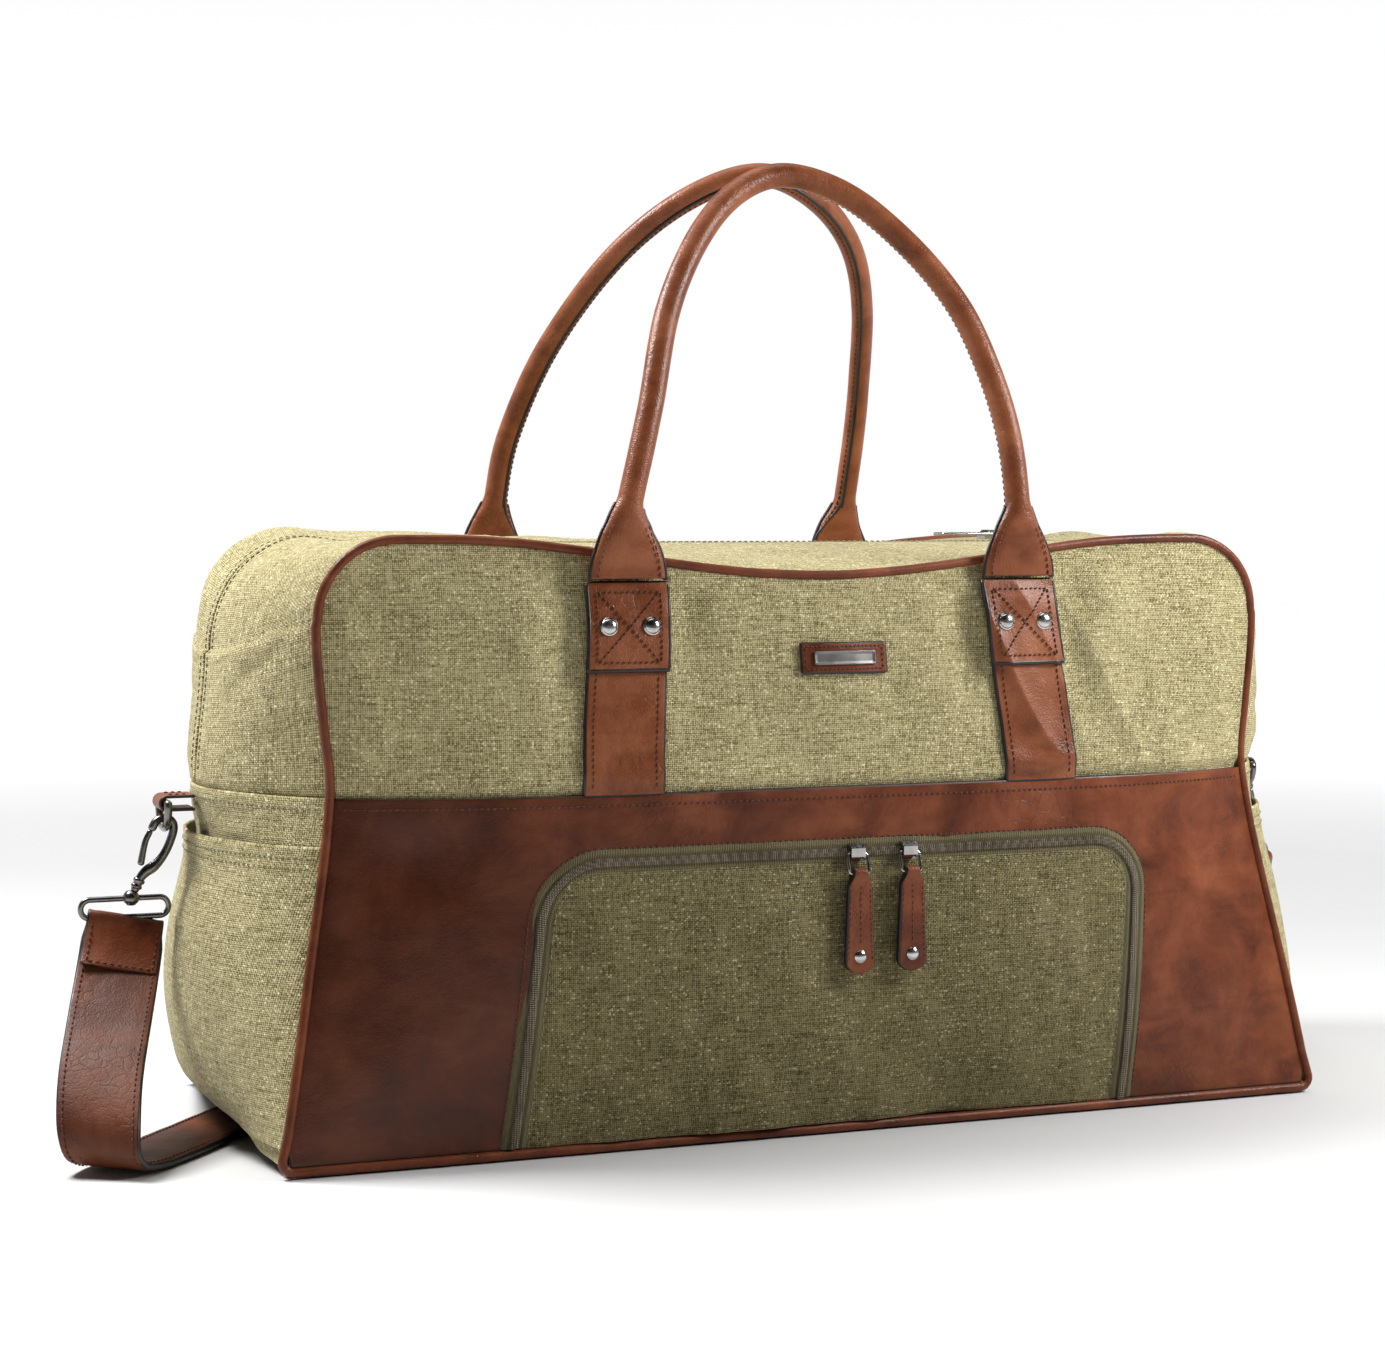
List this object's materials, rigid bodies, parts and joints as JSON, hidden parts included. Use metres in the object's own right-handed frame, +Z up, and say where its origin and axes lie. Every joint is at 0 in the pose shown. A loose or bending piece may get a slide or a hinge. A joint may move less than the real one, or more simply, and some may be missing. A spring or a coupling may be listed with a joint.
{
  "type": "duffel bag",
  "caption": "Canvas and leather travel duffel with two rolled carrying handles, a curved-zip front pocket, a full-length top zip and a clip-on shoulder strap.",
  "frame": {"origin": "centre of the flat underside of the base", "axes": "+X along the length towards the right-hand end seen from the front, -Y out of the front panel with the zipped pocket, +Z up"},
  "size_m": [0.6921, 0.3587, 0.468],
  "materials": {
    "leather": "semi-gloss tan leather, creased",
    "canvas": "matt slubbed olive canvas",
    "dark_canvas": "matt slubbed dark olive canvas",
    "zip_tape": "matt woven tape with a nylon coil",
    "lining": "smooth woven lining",
    "board": "matt stiffener board",
    "nickel": "polished nickel",
    "gunmetal": "polished dark nickel"
  },
  "bodies": {
    "base": {"base_panel": "leather", "base_board": "board", "front_band": "leather", "back_band": "leather", "left_end_panel": "canvas", "right_end_panel": "canvas", "left_end_pocket": "canvas", "right_end_pocket": "canvas", "main_lining": "lining", "pocket_lining": "lining", "front_piping_lower": "leather", "back_piping_lower": "leather", "pocket_zip_outer": "zip_tape", "left_chape": "leather", "right_chape": "leather", "shoulder_strap": "leather"},
    "front_mouth": {"front_upper_panel": "canvas", "front_top_gusset": "canvas", "front_piping_upper": "leather", "main_zip_front": "zip_tape", "front_left_strip": "leather", "front_right_strip": "leather", "front_left_tab": "leather", "front_right_tab": "leather", "front_left_rivet_outer": "nickel", "front_left_rivet_inner": "nickel", "front_right_rivet_outer": "nickel", "front_right_rivet_inner": "nickel", "badge_patch": "leather", "badge_plate": "nickel"},
    "back_mouth": {"back_upper_panel": "canvas", "back_top_gusset": "canvas", "back_piping_upper": "leather", "main_zip_back": "zip_tape", "back_left_strip": "leather", "back_right_strip": "leather"},
    "front_handle": {"front_handle": "leather"},
    "back_handle": {"back_handle": "leather"},
    "main_slider": {"main_slider": "nickel"},
    "main_pull": {"main_pull": "nickel"},
    "pocket_flap": {"pocket_flap": "dark_canvas", "pocket_zip_inner": "zip_tape"},
    "strap_slide_loop": {"strap_slide_loop": "gunmetal"},
    "pocket_slider_left": {"pocket_slider_left": "nickel"},
    "pocket_ring_left": {"pocket_ring_left": "nickel"},
    "pocket_pull_left": {"pocket_pull_left": "leather", "pocket_pull_rivet_left": "nickel"},
    "pocket_slider_right": {"pocket_slider_right": "nickel"},
    "pocket_ring_right": {"pocket_ring_right": "nickel"},
    "pocket_pull_right": {"pocket_pull_right": "leather", "pocket_pull_rivet_right": "nickel"},
    "left_d_ring": {"left_d_ring": "gunmetal"},
    "left_snap_hook": {"left_snap_hook": "gunmetal"},
    "left_hook_gate": {"left_hook_gate": "gunmetal"},
    "left_hook_swivel": {"left_hook_swivel": "gunmetal"},
    "right_d_ring": {"right_d_ring": "gunmetal"},
    "right_snap_hook": {"right_snap_hook": "gunmetal"},
    "right_hook_gate": {"right_hook_gate": "gunmetal"},
    "right_hook_swivel": {"right_hook_swivel": "gunmetal"}
  },
  "joints": [
    {"name": "front_mouth_fold", "type": "hinge", "parent": "base", "child": "front_mouth", "pos_m": [0, -0.125, 0.165], "axis": [1, 0, 0], "range_deg": [0, 22]},
    {"name": "back_mouth_fold", "type": "hinge", "parent": "base", "child": "back_mouth", "pos_m": [0, 0.125, 0.165], "axis": [-1, 0, 0], "range_deg": [0, 22]},
    {"name": "front_handle_fold", "type": "hinge", "parent": "front_mouth", "child": "front_handle", "pos_m": [0, -0.1095, 0.263], "axis": [1, 0, 0], "range_deg": [-2, 75]},
    {"name": "back_handle_fold", "type": "hinge", "parent": "back_mouth", "child": "back_handle", "pos_m": [0, 0.1095, 0.263], "axis": [-1, 0, 0], "range_deg": [0, 75]},
    {"name": "main_slider_run", "type": "slide", "parent": "back_mouth", "child": "main_slider", "axis": [-1, 0, 0], "range_m": [-0.045, 0.32]},
    {"name": "main_pull_swing", "type": "hinge", "parent": "main_slider", "child": "main_pull", "pos_m": [0.14, 0, 0.2829], "axis": [0, 1, 0], "range_deg": [0, 165]},
    {"name": "pocket_flap_fold", "type": "hinge", "parent": "base", "child": "pocket_flap", "pos_m": [0.009, -0.122, 0.007], "axis": [1, 0, 0], "range_deg": [0, 70]},
    {"name": "pocket_slider_left_run", "type": "slide", "parent": "pocket_flap", "child": "pocket_slider_left", "axis": [-1, 0, 0], "range_m": [0, 0.095]},
    {"name": "pocket_ring_left_swing", "type": "hinge", "parent": "pocket_slider_left", "child": "pocket_ring_left", "pos_m": [0.006, -0.1258, 0.1342], "axis": [-1, 0, 0], "range_deg": [0, 100]},
    {"name": "pocket_pull_left_swing", "type": "hinge", "parent": "pocket_ring_left", "child": "pocket_pull_left", "pos_m": [0.006, -0.1287, 0.1252], "axis": [-1, 0, 0], "range_deg": [0, 75]},
    {"name": "pocket_slider_right_run", "type": "slide", "parent": "pocket_flap", "child": "pocket_slider_right", "axis": [1, 0, 0], "range_m": [0, 0.095]},
    {"name": "pocket_ring_right_swing", "type": "hinge", "parent": "pocket_slider_right", "child": "pocket_ring_right", "pos_m": [0.033, -0.1258, 0.1342], "axis": [-1, 0, 0], "range_deg": [0, 100]},
    {"name": "pocket_pull_right_swing", "type": "hinge", "parent": "pocket_ring_right", "child": "pocket_pull_right", "pos_m": [0.033, -0.1287, 0.1252], "axis": [-1, 0, 0], "range_deg": [0, 75]},
    {"name": "left_d_ring_swing", "type": "hinge", "parent": "base", "child": "left_d_ring", "pos_m": [-0.2945, 0, 0.1576], "axis": [0, 1, 0], "range_deg": [0, 40]},
    {"name": "left_hook_swing", "type": "hinge", "parent": "left_d_ring", "child": "left_snap_hook", "pos_m": [-0.2945, 0, 0.1455], "axis": [0, 1, 0], "range_deg": [0, 30]},
    {"name": "left_gate_press", "type": "hinge", "parent": "left_snap_hook", "child": "left_hook_gate", "pos_m": [-0.30552, 0, 0.12929], "axis": [0, 1, 0], "range_deg": [0, 18], "stiffness_Nm_per_rad": 0.002, "springref_deg": -14.32},
    {"name": "left_swivel_spin", "type": "hinge", "parent": "left_snap_hook", "child": "left_hook_swivel", "pos_m": [-0.31028, 0, 0.11314], "axis": [-0.4384, 0, -0.8988], "range_deg": [-60, 60]},
    {"name": "right_d_ring_swing", "type": "hinge", "parent": "base", "child": "right_d_ring", "pos_m": [0.2945, 0, 0.1576], "axis": [0, -1, 0], "range_deg": [0, 40]},
    {"name": "right_hook_swing", "type": "hinge", "parent": "right_d_ring", "child": "right_snap_hook", "pos_m": [0.2945, 0, 0.1455], "axis": [0, -1, 0], "range_deg": [0, 30]},
    {"name": "right_gate_press", "type": "hinge", "parent": "right_snap_hook", "child": "right_hook_gate", "pos_m": [0.30159, 0, 0.12723], "axis": [0, -1, 0], "range_deg": [0, 18], "stiffness_Nm_per_rad": 0.002, "springref_deg": -14.32},
    {"name": "right_swivel_spin", "type": "hinge", "parent": "right_snap_hook", "child": "right_hook_swivel", "pos_m": [0.3026, 0, 0.11042], "axis": [0.225, 0, -0.9744], "range_deg": [-60, 0]},
    {"name": "strap_loop_run", "type": "slide", "parent": "base", "child": "strap_slide_loop", "axis": [1, 0, 0], "range_m": [-0.03, 0.03]}
  ]
}
